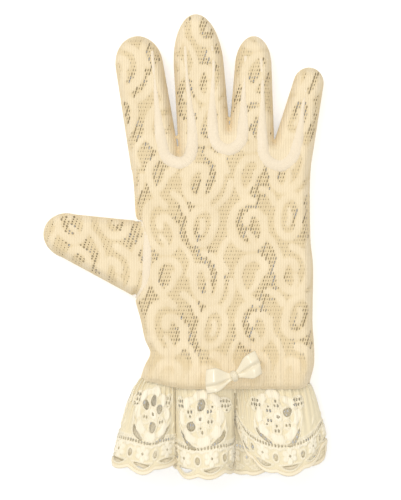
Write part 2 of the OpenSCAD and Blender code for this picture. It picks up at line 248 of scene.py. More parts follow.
def back_height(points, away):
    """Edge height plus a quarter sine wave of the distance to the edge, with slack waves on top."""
    x, y = points[:, 0], points[:, 1]
    rise = np.sin(np.pi / 2 * np.clip(away / BACK_ROLL, 0, 1))
    drape = 0.4 * (1 - 0.6 * smoothstep(-46, -58, y))
    slack = drape * np.sin(x / 6.1 + 0.8 * np.sin(y / 13)) * np.sin(y / 17 + x / 23) + 0.16 * np.sin(x / 3.2 - y / 8)
    wrist = gathers(x, 0.34 * smoothstep(-38, -54, y))
    hem = HEM_PUFF * smoothstep(HEM_TOP_Y + 1, HEM_TOP_Y - 6.5, y)
    hem = hem - FOOT_DROP * smoothstep(-67.5, -72.5, y - hem_lift(x))
    return EDGE_Z + (GLOVE_T - 0.5 - EDGE_Z) * rise + (slack + wrist + hem) * rise


def palm_height(away):
    """The palm face sinks from the edge to the table in a quarter sine wave."""
    sink = np.sin(np.pi / 2 * np.clip(away / PALM_ROLL, 0, 1))
    return EDGE_Z - (EDGE_Z - PALM_Z) * sink


def back_surface(points):
    """The back face above any points seen from above."""
    return np.column_stack([points, back_height(points, nearest_edge(points, whole_edges)[0])])


# %% [markdown]
# ## The pattern of the lace
# The lace is a net in which bands of closed stitches draw scrolls, leaves and teardrops. Each band is
# a curve with a half width. A point belongs to the pattern when it is nearer to some curve than
# its half width. The same few curves repeat over the cloth, and a slow drift of the cloth keeps
# two repeats from looking alike.

# %% Curves of the lace pattern
REPEAT_X, REPEAT_Y = 43.0, 50.0
TEARDROP = [(1.6, 9.8), (-2.9, 8.2), (-5.9, 3.0), (-6.0, -3.4), (-3.2, -8.2), (1.2, -8.9), (5.0, -5.6), (5.8, -0.6),
            (4.0, 3.4), (0.8, 3.6), (-0.4, 1.0)]
SCROLL = [(5.2, -10.0), (1.8, -8.6), (-2.8, -3.8), (-4.6, 1.8), (-2.6, 7.0), (2.0, 8.4), (5.0, 5.2), (3.6, 1.6)]
OVAL = [(0.0, 8.4), (-4.2, 5.0), (-4.9, -1.0), (-3.4, -6.4), (0.2, -8.2), (3.8, -6.0), (4.9, -0.6), (3.9, 5.4),
        (0.0, 8.4)]
LEAF = [(0.0, -5.4), (0.9, -1.8), (0.7, 1.9), (-0.7, 5.2)]
STEM = [(-1.8, -11.5), (1.6, -6.5), (0.6, 0.0), (-2.0, 5.6), (-0.6, 11.5)]
# shape, centre, turn in degrees, size, mirrored (1 or -1), half width of the band
PATTERN = [
    (TEARDROP, (-10.5, 11.5), 12, 1.25, 1, 1.9),
    (LEAF, (-9.6, 4.6), 20, 0.6, 1, 1.3),
    (OVAL, (11.0, 13.5), -16, 1.2, 1, 1.75),
    (LEAF, (11.0, 13.0), -14, 0.6, 1, 1.2),
    (TEARDROP, (10.5, -13.0), -12, 1.2, -1, 1.9),
    (LEAF, (10.2, -18.6), -16, 0.6, 1, 1.3),
    (SCROLL, (-11.0, -14.0), -14, 1.2, 1, 1.8),
    (LEAF, (-8.4, -16.2), -30, 0.9, 1, 1.3),
    (STEM, (0.8, 1.0), 10, 1.1, 1, 1.4),
    (STEM, (21.6, 2.0), -10, 1.0, -1, 1.4),
    (LEAF, (0.6, 24.6), 34, 1.0, 1, 1.6),
    (LEAF, (21.0, -21.0), -30, 1.2, 1, 1.6),
]


def drifted(points):
    """The cloth's own slow drift, a few millimetres over a hand's width."""
    x, y = points[:, 0], points[:, 1]
    return np.stack([x + 2.2 * np.sin(y / 21 + 0.6) + 0.9 * np.sin(x / 9 + y / 14),
                     y + 2.6 * np.sin(x / 19 + 1.2) + 0.8 * np.sin(y / 10 - x / 12)], axis=1)


def wrapped(value, size):
    """The value brought within half a repeat of zero."""
    return (value + size / 2) % size - size / 2


def pattern_depth(points, block=4000):
    """How deep a point is in a band: half width less distance, the greatest over all bands and repeats."""
    cloth = drifted(points)
    depth = np.full(len(points), -99.0)
    for shape, place, turn, size, mirror, half in PATTERN:
        curve = turned(even_path(curve_through(shape, 5), 0.8) * [size * mirror, size], turn, place)
        for part in np.array_split(np.arange(len(points)), len(points) // block + 1):
            dx = wrapped(cloth[part, :1] - curve[:, 0], REPEAT_X)
            dy = wrapped(cloth[part, 1:] - curve[:, 1], REPEAT_Y)
            depth[part] = np.maximum(depth[part], half - np.sqrt((dx**2 + dy**2).min(axis=1)))
    return depth


# %% [markdown]
# ## The net
# A knitted lace net is a staggered lattice of tall six-sided meshes that share their threads. Every
# mesh here is a ring of six faces round a smaller hexagon. Where the hexagon is left out there
# is a hole, and where it is filled there is closed cloth. Threads are raised along the shared
# sides, so they catch the light as round threads do. A flat sheet with painted holes would be
# quicker, but it would have no rims, and nothing would show behind it.

# %% One lattice for palm and fingers, one for the thumb
PITCH = 1.23  # width of a mesh
ROW = 1.83  # distance between rows
SIDE = 1.15  # upright side of a mesh
HOLE = 0.57  # size of an open hole beside the pattern, as a share of its mesh
FINE_HOLE = 0.24  # the same in the finer net away from the pattern
SLENDER = np.array([0.78, 1.16])  # holes are narrower and taller than their meshes
SLANT = 0.16  # holes lean to the right by this share of their height


def net_lattice(low, high):
    """Mesh centres, the six shared corners of each mesh, counter-clockwise from its top, and the corner points."""
    rows = np.arange(int(low[1] / ROW) - 1, int(high[1] / ROW) + 2)
    columns = np.arange(int(low[0] / PITCH) - 1, int(high[0] / PITCH) + 2)
    j, i = (a.ravel() for a in np.meshgrid(rows, columns, indexing="ij"))
    half = 2 * i + j % 2
    keys = np.stack([
        np.stack([half, half - 1, half - 1, half, half + 1, half + 1], axis=1),
        np.stack([2 * j + 2, 2 * j + 1, 2 * j, 2 * j - 1, 2 * j, 2 * j + 1], axis=1),
    ], axis=-1)
    unique, index = np.unique(keys.reshape(-1, 2), axis=0, return_inverse=True)
    level = unique[:, 1]
    y = level // 2 * ROW + np.where(level % 2 == 1, SIDE / 2, -SIDE / 2)
    corners = np.stack([unique[:, 0] * PITCH / 2, y], axis=1)
    centres = np.stack([half * PITCH / 2, j * ROW], axis=1)
    return centres, index.reshape(-1, 6), corners


def cut_net(is_cloth, edges, low, high, turn=0.0, place=(0.0, 0.0)):
    """The meshes whose centre is cloth, with the corners along the cut moved onto the nearest edge."""
    centres, cells, corners = net_lattice(low, high)
    centres, corners = turned(centres, turn, place), turned(corners, turn, place)
    cells = cells[is_cloth(centres)]
    shared = np.bincount(cells.ravel(), minlength=len(corners))
    rim = np.flatnonzero((shared > 0) & (shared < 3))
    corners[rim] = nearest_edge(corners[rim], edges)[1]
    used, cells = np.unique(cells, return_inverse=True)
    return corners[used], cells.reshape(-1, 6)


# %% Cut the hand and the thumb from the net
below_thumb = [p for p in THUMB_EDGE if p[1] < -30] + [(-24.55, -27.5)]
above_thumb = [(-24.4, 15), (-25.5, 30), (-27.2, 44)]
hand_edge = below_thumb + THUMB_SEAM[::-1] + above_thumb
hand_outlines = [np.concatenate([curve_through(hand_edge), curve_through(LITTLE_EDGE)]), *finger_outlines.values()]
foot_x = np.linspace(-27, 65, 140)
foot = np.column_stack([foot_x, HEM_FOOT_Y + hem_lift(foot_x)])
side_edges = outer_edges(hand_outlines)
hand_edges = (np.concatenate([side_edges[0], foot[:-1]]), np.concatenate([side_edges[1], foot[1:]]))


def in_hand(points):
    """Inside the palm or a finger, above the foot of the hem."""
    above_foot = points[:, 1] > HEM_FOOT_Y + hem_lift(points[:, 0])
    return np.any([is_inside(points, o) for o in hand_outlines], axis=0) & above_foot


def in_thumb(points):
    """Inside the glove on the thumb's side of its seam."""
    in_whole = is_inside(points, palm_outline) | is_inside(points, thumb_outline)
    return in_whole & ~np.any([is_inside(points, o) for o in hand_outlines], axis=0) & (points[:, 0] < -17)


seam_line = even_path(curve_through(THUMB_SEAM), 0.9)
thumb_edges = (np.concatenate([whole_edges[0], seam_line[:-1]]), np.concatenate([whole_edges[1], seam_line[1:]]))
hand_net = cut_net(in_hand, hand_edges, (-45, -75), (85, 120))
thumb_net = cut_net(in_thumb, thumb_edges, (-40, -20), (40, 70), thumb_angle, THUMB["root"])
print("meshes in the hand:", len(hand_net[1]), "and in the thumb:", len(thumb_net[1]))

# %% [markdown]
# ## Materials of thread and cloth
# Cotton thread is matt and scatters light, so each cloth gets a high roughness, a little sheen and
# a bump of fine threads. Two effects are shared as node groups: the fine upright threads of the
# cloth, whose low places are also painted darker as shade between the threads, and the slow change
# of tone that washed and handled lace has. Both read the flat cloth's own map, so they bend with the cloth.


# %% Shared effects as node groups
def new_group(name, inputs, outputs):
    """An empty node group with float or vector inputs and float outputs."""
    group = bpy.data.node_groups.new(name, "ShaderNodeTree")
    for label, kind, value in inputs:
        socket = group.interface.new_socket(label, in_out="INPUT", socket_type=kind)
        if value is not None:
            socket.default_value = value
    for label in outputs:
        group.interface.new_socket(label, in_out="OUTPUT", socket_type="NodeSocketFloat")
    return group, group.nodes.new("NodeGroupInput"), group.nodes.new("NodeGroupOutput")


def feed(tree, socket, value):
    """Give a socket a constant, or a link from another node's output."""
    if isinstance(value, bpy.types.NodeSocket):
        tree.links.new(value, socket)
    else:
        socket.default_value = value


def math_node(tree, operation, *operands):
    """A Math node; each operand is a number or an output socket."""
    node = tree.nodes.new("ShaderNodeMath")
    node.operation = operation
    for socket, value in zip(node.inputs, operands):
        feed(tree, socket, value)
    return node.outputs[0]


def noise_node(tree, vector, scale, detail=2.0):
    """A Noise texture over the flat cloth; the scale is a number or a socket."""
    node = tree.nodes.new("ShaderNodeTexNoise")
    feed(tree, node.inputs["Vector"], vector)
    feed(tree, node.inputs["Scale"], scale)
    node.inputs["Detail"].default_value = detail
    return node.outputs[0]


def fine_threads_group():
    """Upright threads: a sine of the cloth's width, its crests shifted by noise, less sharp where the noise is low."""
    inputs = [("Cloth", "NodeSocketVector", None), ("Threads per cm", "NodeSocketFloat", 18.0),
              ("Uneven", "NodeSocketFloat", 0.5)]
    group, given, result = new_group("fine threads", inputs, ["Height"])
    split = group.nodes.new("ShaderNodeSeparateXYZ")
    group.links.new(given.outputs["Cloth"], split.inputs[0])
    noise = noise_node(group, given.outputs["Cloth"], 9.0, detail=4.0)
    turns = math_node(group, "MULTIPLY", split.outputs[0], given.outputs["Threads per cm"])
    shift = math_node(group, "MULTIPLY", noise, given.outputs["Uneven"])
    phase = math_node(group, "MULTIPLY", math_node(group, "ADD", turns, shift), 2 * np.pi)
    soft = math_node(group, "MULTIPLY_ADD", math_node(group, "SINE", phase), 0.35, 0.5)
    mixed = math_node(group, "MULTIPLY", soft, math_node(group, "ADD", noise, 0.5))
    group.links.new(mixed, result.inputs["Height"])
    return group


def handled_tone_group():
    """Slow change of tone at random: broad noise added to finer noise, from 0 for the darker tone to 1 for the
    lighter.
    """
    inputs = [("Cloth", "NodeSocketVector", None), ("Size", "NodeSocketFloat", 0.7)]
    group, given, result = new_group("handled tone", inputs, ["Tone"])
    broad = noise_node(group, given.outputs["Cloth"], given.outputs["Size"])
    fine = noise_node(group, given.outputs["Cloth"], 14.0)
    both = math_node(group, "ADD", broad, math_node(group, "MULTIPLY", fine, 0.35))
    spread = math_node(group, "MULTIPLY_ADD", math_node(group, "SUBTRACT", both, 0.67), 2.2, 0.5)
    spread.node.use_clamp = True
    group.links.new(spread, result.inputs["Tone"])
    return group


FINE_THREADS = fine_threads_group()
HANDLED_TONE = handled_tone_group()
print("node groups:", FINE_THREADS.name, "and", HANDLED_TONE.name)


# %% One recipe for all the cloths
SHINE_THROUGH = 0.45  # thin cloth shows this share of its clean colour, unshaded


def linear(red, green, blue):
    """A colour of a screen, 0 to 255, as light."""
    c = np.array([red, green, blue]) / 255
    return (*np.where(c < 0.04045, c / 12.92, ((c + 0.055) / 1.055) ** 2.4), 1.0)


def mix_colours(tree, factor, first, second):
    """A Mix node for colour; the factor and each colour are a value or a socket."""
    node = tree.nodes.new("ShaderNodeMix")
    node.data_type = "RGBA"
    for place, value in ((0, factor), (6, first), (7, second)):
        feed(tree, node.inputs[place], value)
    return node.outputs[2]


def new_finish(name):
    """A new material, its node tree and its shader."""
    material = bpy.data.materials.new(name)
    material.use_nodes = True
    return material, material.node_tree, material.node_tree.nodes["Principled BSDF"]


def point_mark(tree, mark):
    """The value of a mark that the mesh carries on its points."""
    node = tree.nodes.new("ShaderNodeAttribute")
    node.attribute_name = mark
    return node.outputs["Fac"]


def on_cloth(tree, group, **settings):
    """A shared effect laid over the flat cloth, with its settings by name, _ for a space."""
    cloth = tree.nodes.new("ShaderNodeUVMap")
    cloth.uv_map = "cloth"
    node = tree.nodes.new("ShaderNodeGroup")
    node.node_tree = group
    tree.links.new(cloth.outputs[0], node.inputs["Cloth"])
    for label, value in settings.items():
        node.inputs[label.replace("_", " ")].default_value = value
    return node.outputs[0]


def add_relief(tree, shader, height, strength, distance):
    """A bump, in metres at full height."""
    node = tree.nodes.new("ShaderNodeBump")
    node.inputs["Strength"].default_value = strength
    node.inputs["Distance"].default_value = distance
    tree.links.new(height, node.inputs["Height"])
    tree.links.new(node.outputs[0], shader.inputs["Normal"])


def cloth_material(name, ground, light, shade, mark=None, rim=None, threads=18.0, bump=0.35):
    """Matt thread: ground and light colours mixed by a mark on the cloth, darkened towards the shade colour by a
    random tone and by painted shade between the threads, and towards the rim colour by painted shade at the folded
    edge.
    """
    material, tree, shader = new_finish(name)
    fine = on_cloth(tree, FINE_THREADS, Threads_per_cm=threads)
    tone = on_cloth(tree, HANDLED_TONE)
    clean = mix_colours(tree, point_mark(tree, mark), ground, light) if mark else light
    # painted shade: the shade colour goes into the low places between threads, mixed with the lace's random handled
    # tone
    tone_and_thread_shade = math_node(tree, "MULTIPLY", math_node(tree, "ADD", tone, fine), 0.45)
    colour = mix_colours(tree, SHINE_THROUGH, mix_colours(tree, tone_and_thread_shade, shade, clean), clean)
    # painted shade: the rim colour darkens the folded edge, where the cloth rolls away from the light
    if rim:
        colour = mix_colours(tree, point_mark(tree, "edge"), colour, rim)
    tree.links.new(colour, shader.inputs["Base Color"])
    add_relief(tree, shader, fine, bump, 0.0003)
    shader.inputs["Roughness"].default_value = 0.85
    shader.inputs["Sheen Weight"].default_value = 0.25
    shader.inputs["Sheen Roughness"].default_value = 0.5
    shader.inputs["Specular IOR Level"].default_value = 0.25
    return material


# shade is the darker end of the random tone and of painted shade between threads; rim is painted shade at the folded
# edge
LACE = cloth_material("stretch lace", linear(224, 205, 167), linear(238, 222, 191), linear(200, 178, 136),
                      mark="pattern", rim=linear(212, 190, 146), threads=8.1, bump=0.7)
# the same lace as the back, painted lighter as light inside the glove, so the shaded inside shows less dark through
# the holes
PALM_LACE_PAINTED_LIGHTER = cloth_material("palm lace", linear(240, 220, 178), linear(246, 230, 194), linear(226, 201, 154),
                           mark="pattern", rim=linear(220, 196, 148))
SEAM = cloth_material("seam thread", linear(238, 226, 204), linear(240, 227, 205), linear(216, 196, 160),
                      threads=7.0, bump=0.6)
HEM = cloth_material("turned hem", linear(238, 224, 196), linear(241, 227, 200), linear(220, 201, 166),
                     threads=9.0, bump=0.5)
RUFFLE = cloth_material("cuff lace", linear(231, 219, 188), linear(247, 239, 220), linear(216, 203, 169),
                        mark="pattern", threads=11.0, bump=0.5)
CORD = cloth_material("cuff edge cord", linear(238, 226, 199), linear(241, 230, 205), linear(218, 201, 164),
                      threads=6.0, bump=0.7)


# %% [markdown]
# ## Lace pieces
# Palm, fingers and thumb are separate bodies, so the net is shared out between pieces where the
# working parts are. Cut along the meshes, neighbours share the very same points and no gap shows.
# A mark tells the material how much of each point is closed pattern, and another paints shade along the folded edge.

# %% Fill or open each mesh
WEB_HEARTS = np.array([(-5.0, 49.0), (21.3, 55.5), (47.4, 47.5)])  # between the fingers, where the lace is doubled
PALM_SHIFT = (17.0, 9.0)  # the palm is cut from another place of the same cloth
# the rim colour at the folded edge is painted shade
EDGE_SHADE_SHARE = 0.4  # how much of the rim's colour the folded edge takes


def near_web(points):
    """1 at the middle of a web between two fingers, falling to 0 in an S curve."""
    away = np.linalg.norm(points[:, None] - WEB_HEARTS, axis=2).min(axis=1)
    return 1 - smoothstep(5.0, 12.0, away)


def lace_faces(corners, cells, upper):
    """Points, marks and faces of one side of the glove, with the faces of mesh n at place n of each array.

    A hole is its mesh scaled about the middle and sheared; between holes the height follows the corners,
    raised by the pattern and dipped a little at the middle of each mesh.
    """
    away = nearest_edge(corners, whole_edges)[0]
    depth = pattern_depth(corners if upper else corners + PALM_SHIFT)
    centres = corners[cells].mean(axis=1)
    centre_depth = depth[cells].mean(axis=1)
    centre_away = away[cells].mean(axis=1)
    nearly, rim_width = (-0.15, 1.2) if upper else (-0.8, 1.8)  # the palm is worked closer
    closed = (centre_depth > nearly) | (centre_away < rim_width) | (near_web(centres) > 0.55)
    height = back_height(corners, away) if upper else palm_height(away)
    up = 1.0 if upper else -1.0
    plain = 0.75 * smoothstep(-57, -64, corners[:, 1])
    pattern = smoothstep(-0.9, 0.5, depth) * (1 - plain) + 0.9 * plain
    pattern = np.maximum(pattern, near_web(corners))
    height = height + up * (0.12 + 0.28 * pattern) * smoothstep(0.2, 1.5, away)
    x, y = centres[:, 0], centres[:, 1]
    beside = smoothstep(-2.6, -1.5, centre_depth) * smoothstep(-0.1, 0.7, np.sin(x / 4.7 + 1.7 * np.sin(y / 9)))
    uneven = 1 + 0.3 * np.sin(12.9898 * x + 78.233 * y)  # changes from mesh to mesh without order
    beside = beside if upper else 0
    size = (FINE_HOLE + (HOLE - FINE_HOLE) * beside) * uneven * (1 - 0.7 * smoothstep(-52, -60, y))
    size = np.where(closed, 0.5, size * (1.0 if upper else 0.7))[:, None, None]
    inner = (corners[cells] - centres[:, None]) * size * SLENDER
    inner[..., 0] += np.where(closed, 0, SLANT)[:, None] * inner[..., 1]
    inner = centres[:, None] + inner
    middle_height = height[cells].mean(axis=1)[:, None]
    dip = np.where(closed, 0.05, 0.16)[:, None] * smoothstep(0.3, 1.5, centre_away)[:, None]
    inner_height = middle_height + (height[cells] - middle_height) * size[:, :, 0] - up * dip
    inner_pattern = pattern[cells] * 0.7 + 0.3 * np.where(closed, 1.0, 0.0)[:, None] * pattern[cells]
    points = np.concatenate([np.column_stack([corners, height]),
                             np.column_stack([inner.reshape(-1, 2), inner_height.ravel()])])
    # the edge mark paints shade along the folded edge, towards the rim colour
    marks = dict(pattern=np.concatenate([pattern, inner_pattern.ravel()]),
                 edge=EDGE_SHADE_SHARE * (1 - smoothstep(0.2, 2.0, np.concatenate([away, np.repeat(centre_away, 6)]))))
    inner_index = len(corners) + np.arange(len(cells) * 6).reshape(-1, 6)
    after, inner_after = np.roll(cells, -1, axis=1), np.roll(inner_index, -1, axis=1)
    ring = np.stack([cells, after, inner_after, inner_index], axis=-1)
    if not upper:
        ring, inner_index = ring[..., ::-1], inner_index[:, ::-1]
    return points, marks, ring, inner_index, closed


def joined_lace(name, parts, material):
    """One piece from several (lace, mesh choice) parts, each part's points after the last one's."""
    points, rings, fills, marks, start = [], [], [], dict(pattern=[], edge=[]), 0
    for (part_points, part_marks, ring, fill, closed), chosen in parts:
        rings.append(ring[chosen].reshape(-1, 4) + start)
        fills.append(fill[chosen & closed] + start)
        points.append(part_points)
        for key in marks:
            marks[key].append(part_marks[key])
        start += len(part_points)
    return make_piece(name, np.concatenate(points), [np.concatenate(rings), np.concatenate(fills)], material,
                      marks={key: np.concatenate(values) for key, values in marks.items()})


# %% [markdown]
# ## Who gets which mesh
# A seam roll runs round each crotch and up the sides of both fingers. The lace inside that U is
# the side strip of a finger above its bend, and the small web between two fingers below it.

# %% Seam paths round the crotches
CROTCHES = dict(
    index_middle=("index", "middle", [(-16.6, 97.5), (-15.3, 84), (-13.6, 66), (-12.8, 59.3), (-12, 53), (-9.5, 45),
                  (-3.2, 41.8), (2, 44.6), (3.7, 54), (2.8, 65), (1.8, 74.8), (0.8, 84), (0.2, 92), (0, 101)]),
    middle_ring=("middle", "ring", [(13, 100), (14, 92), (13.8, 84), (13.5, 74.8), (13.4, 62), (15, 52.5),
                 (21.3, 48.5), (27.5, 52.5), (28.8, 62), (29, 74.8), (29.4, 84), (30, 95)]),
    ring_little=("ring", "little", [(37.5, 95), (38.2, 84), (38.2, 74.8), (38.2, 52), (40.5, 43.5), (47.5, 40.5),
                 (53.5, 45), (56, 53), (57.2, 60.3), (58, 68), (59.6, 78), (61, 83)]),
)
seam_paths = {name: even_path(curve_through(points), 0.6) for name, (_, _, points) in CROTCHES.items()}
SIDE_NODES = {
    ("index_middle", "index"): ("index_fourchette", "index_roll"),
    ("index_middle", "middle"): ("middle_fourchette_index_side", "middle_roll_index_side"),
    ("middle_ring", "middle"): ("middle_fourchette_ring_side", "middle_roll_ring_side"),
    ("middle_ring", "ring"): ("ring_fourchette_middle_side", "ring_roll_middle_side"),
    ("ring_little", "ring"): ("ring_fourchette_little_side", "ring_roll_little_side"),
    ("ring_little", "little"): ("little_fourchette", "little_roll"),
}


def finger_of(centres):
    """The name of the finger each point lies on past the start of its bend, or hand."""
    owner = np.full(len(centres), "hand", dtype=object)
    best = np.full(len(centres), 1e9)
    for name, f in FINGERS.items():
        across = np.array([np.cos(np.radians(f["lean"])), np.sin(np.radians(f["lean"]))])
        miss = np.abs((centres - [f["x"], KNUCKLE_Y]) @ across)
        take = (centres[:, 1] > f["fold"] - BEND) & (miss < best) & (miss < f["base"] / 2 + 0.5)
        owner[take], best[take] = name, miss[take]
    return owner


def bend_finger(piece):
    """Bake a finger piece's place into its points."""
    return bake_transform(piece)


def bend_thumb(piece):
    """The same for a thumb piece: bake its place into its points."""
    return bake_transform(piece)


# %% Share the lace out
hand_centres = hand_net[0][hand_net[1]].mean(axis=1)
hand_upper = lace_faces(*hand_net, upper=True)
hand_lower = lace_faces(*hand_net, upper=False)
owner = finger_of(hand_centres)
crotch_of = np.full(len(hand_centres), "", dtype=object)
for crotch, path in seam_paths.items():
    crotch_of[is_inside(hand_centres, path)] = crotch

on_hand = (owner == "hand") & (crotch_of == "")
for node, lace, material in (("hand_back", hand_upper, LACE), ("hand_palm", hand_lower, PALM_LACE_PAINTED_LIGHTER)):
    piece = joined_lace("lace_" + node, [(lace, on_hand)], material)
    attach(piece, "hand")
    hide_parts(node)
for crotch in seam_paths:
    web = (owner == "hand") & (crotch_of == crotch)
    piece = joined_lace("lace_web_" + crotch, [(hand_upper, web), (hand_lower, web)], LACE)
    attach(piece, "hand")
    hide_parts("web_" + crotch)
for name in FINGERS:
    own = (owner == name) & (crotch_of == "")
    for side, lace, material in (("back", hand_upper, LACE), ("palm", hand_lower, PALM_LACE_PAINTED_LIGHTER)):
        piece = bend_finger(joined_lace(f"lace_{name}_{side}", [(lace, own)], material))
        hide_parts(f"{name}_{side}")
for (crotch, name), (strip_node, _) in SIDE_NODES.items():
    own = (owner == name) & (crotch_of == crotch)
    piece = bend_finger(joined_lace("lace_" + strip_node, [(hand_upper, own), (hand_lower, own)], LACE))
    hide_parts(strip_node)
thumb_all = np.ones(len(thumb_net[1]), bool)
for side, upper, material in (("back", True, LACE), ("palm", False, PALM_LACE_PAINTED_LIGHTER)):
    lace = lace_faces(*thumb_net, upper=upper)
    piece = bend_thumb(joined_lace("lace_thumb_" + side, [(lace, thumb_all)], material))
    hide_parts("thumb_" + side)

# %% [markdown]
# ## Raised seam rolls
# Where a side strip is sewn in, the seam turns over and stands up as a soft cream roll, broad round
# each crotch and thin up the fingers. It is half an ellipse carried along the seam's path, set a
# little into the lace, and puckered by its stitches. A whole tube would lie on the cloth like a
# cord, where a turned seam grows out of it.


# %% Carry a profile along a path
ROLL_STEPS = 14  # points across a roll
STITCH, PUCKER = 1.8, 0.06  # distance between stitches, and how much they narrow the roll


def soft_roll(name, path, width, height, material, sink=0.35):
    """Half an ellipse across a path in space: width and height are numbers or arrays along the path."""
    run = np.gradient(path, axis=0)
    side = np.stack([-run[:, 1], run[:, 0], np.zeros(len(run))], axis=1)
    side /= np.linalg.norm(side, axis=1, keepdims=True)
    along = np.concatenate([[0], np.cumsum(np.linalg.norm(np.diff(path, axis=0), axis=1))])
    a = np.linspace(0, np.pi, ROLL_STEPS)
    width, height = (np.broadcast_to(v, len(path))[:, None] for v in (width, height))
    stitch = 1 + PUCKER * np.sin(2 * np.pi * along / STITCH)[:, None] * np.sin(a)
    shape = path[:, None] - side[:, None] * (width / 2 * np.cos(a) * stitch)[..., None]
    shape[..., 2] += height * stitch * np.sin(a) - sink
    flat = np.stack(np.broadcast_arrays(width * a, along[:, None]), axis=-1)
    return make_piece(name, shape.reshape(-1, 3), [grid_faces(len(path), ROLL_STEPS)[:, ::-1]], material,
                      flat=flat.reshape(-1, 2))


for crotch, (first, second, _) in CROTCHES.items():
    path = seam_paths[crotch]
    middle = int(path[:, 1].argmin())
    cut_1 = int(np.flatnonzero(path[:middle, 1] > FINGERS[first]["fold"] - BEND)[-1])
    cut_2 = middle + int(np.flatnonzero(path[middle:, 1] > FINGERS[second]["fold"] - BEND)[0])
    top = np.where(np.arange(len(path)) < middle, path[0, 1], path[-1, 1])
    fade = smoothstep(top, path[:, 1].min() + 6, path[:, 1])  # 1 round the crotch, 0 at the ends of both arms
    width, height = 1.7 + 4.6 * fade**2, 0.55 + 0.75 * fade
    rolled = back_surface(path)
    for part, name in ((slice(0, cut_1 + 1), first), (slice(cut_1, cut_2 + 1), "hand"), (slice(cut_2, None), second)):
        node = "crotch_roll_" + crotch if name == "hand" else SIDE_NODES[crotch, name][1]
        piece = soft_roll("seam_" + node, rolled[part], width[part], height[part], SEAM, sink=0.3)
        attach(piece, "hand") if name == "hand" else bend_finger(piece)
        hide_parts(node)

path = back_surface(even_path(curve_through(THUMB_SEAM), 0.6))
# thin at both ends
ends = np.sin(np.pi * np.linspace(0.04, 0.96, len(path))) ** 0.5
piece = soft_roll("seam_thumb_base", path, 4.8 * ends, 1.0 * ends, SEAM)
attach(piece, "hand")
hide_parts("thumb_base_seam")

# %% [markdown]
# ## Seam allowances inside the glove
# Along the little finger's side and under the thumb two edges are sewn together inside the fold. The
# narrow bound strip shows faintly through the net, and is carried along the inside of the edge.

# %% Strips inside the folded edge
STRIP_Z = 5.2
palm_side = [p for p in curve_through(LITTLE_EDGE)[::-1] if -51 < p[1] < 44]
outer_path = np.array(palm_side + [(61.2, 48.0), (62.0, 52.5)]) - [1.9, 0]
outer_path = even_path(np.column_stack([outer_path, np.full(len(outer_path), STRIP_Z)]), 1.2)
piece = soft_roll("seam_outer_side", outer_path, 1.8, 1.0, SEAM, sink=0.0)
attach(piece, "hand")
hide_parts("outer_side_seam")
thumb_side = turned(np.array([(-13.9, 14.5), (-11.8, 26), (-9.8, 36), (-8.2, 42.5)]), thumb_angle, THUMB["root"])
thumb_side = even_path(np.column_stack([thumb_side, np.full(len(thumb_side), STRIP_Z)]), 1.2)
piece = bend_thumb(soft_roll("seam_thumb_side", thumb_side, 1.4, 1.0, SEAM, sink=0.0))
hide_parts("thumb_side_seam")

# %% [markdown]
# ## Turned hem, elastic and heading at the wrist
# At the wrist the lace is drawn in by an elastic thread and turned up into a puffy hem of two layers.
# All three bands are flat rings: an ellipse squared off towards its ends, with fine gathers whose
# height fades at the edges. One function makes all three from a few stations along the arm.


# %% A gathered ring round the wrist
def wrist_ring(name, stations, material, gather=0.0, around=360, marks=None):
    """Rings through stations (y, left, right, low, high, gather share): x and z follow a squared-off ellipse."""
    stations = curve_through(stations, 5)
    a = np.linspace(0, 2 * np.pi, around, endpoint=False)
    c, s = np.cos(a), np.sin(a)
    y, x0, x1, z0, z1, share = (stations[:, k : k + 1] for k in range(6))
    x = (x0 + x1) / 2 + (x1 - x0) / 2 * np.sign(c) * np.abs(c) ** 0.7
    y = y + hem_lift(x) * smoothstep(-60, -69, y)
    bulge = np.sign(s) * np.abs(s) ** 0.55
    z = (z0 + z1) / 2 + (z1 - z0) / 2 * bulge
    z = z + gather * share * np.where(s > 0, gathers(x, 1.0), 0.3 * gathers(x, 1.0)) * np.abs(bulge)
    points = np.stack(np.broadcast_arrays(x, y, z), axis=-1).reshape(-1, 3)
    return make_piece(name, points, [grid_faces(len(stations), around, closed=True)], material,
                      flat=np.stack(np.broadcast_arrays(x, y + 0 * x), axis=-1).reshape(-1, 2), marks=marks)


hem = wrist_ring("turned_hem", [
    (-55.4, -14.8, 60.4, 1.6, 8.6, 0.2), (-58.0, -17.0, 61.0, 1.0, 9.9, 0.5), (-60.5, -18.2, 60.8, 0.8, 11.2, 0.9),
    (-64.0, -19.4, 60.0, 0.8, 11.8, 1.0), (-67.0, -20.4, 59.2, 0.8, 11.3, 1.0), (-69.0, -20.8, 58.8, 0.9, 9.8, 0.8),
    (-69.8, -20.6, 58.4, 1.4, 8.8, 0.5), (-69.0, -20.0, 57.6, 2.0, 8.2, 0.3)], HEM, gather=0.42)
elastic = wrist_ring("elastic_band", [(-51.5, -16.2, 62.2, 1.4, 9.0, 1), (-52.5, -16.2, 62.2, 1.2, 9.2, 1),
                                      (-54.5, -16.2, 62.2, 1.4, 9.0, 1)], SEAM, gather=0.2)
heading = wrist_ring("cuff_heading", [
    (-65.0, -18.4, 57.6, 2.4, 8.0, 0.3), (-68.0, -19.6, 58.0, 2.2, 7.8, 0.6), (-70.5, -20.4, 58.6, 2.0, 7.6, 0.8),
    (-72.2, -21.0, 59.2, 1.8, 7.8, 0.8)], RUFFLE, gather=0.4, marks=dict(pattern=0.45))
for piece, node, slot in ((hem, "wrist_hem", "seam"), (elastic, "wrist_elastic", "seam"),
                          (heading, "ruffle_heading", "cuff_lace")):
    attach(piece, "hand")
    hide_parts(node)

# %% [markdown]
# ## The gathered cuff
# The cuff is one long strip of bordered lace, gathered to the wrist and standing out in three deep
# flutes on the back, with a flatter layer under them. Its outer edge is a curve in space and so
# is its gathered edge, and the cloth is ruled between the two. Going round: front flutes left to
# right, then back under the glove. A cloth simulation could gather such a strip, but it would not
# stand in the same flutes twice, and here each point also keeps its known place on the flat strip.

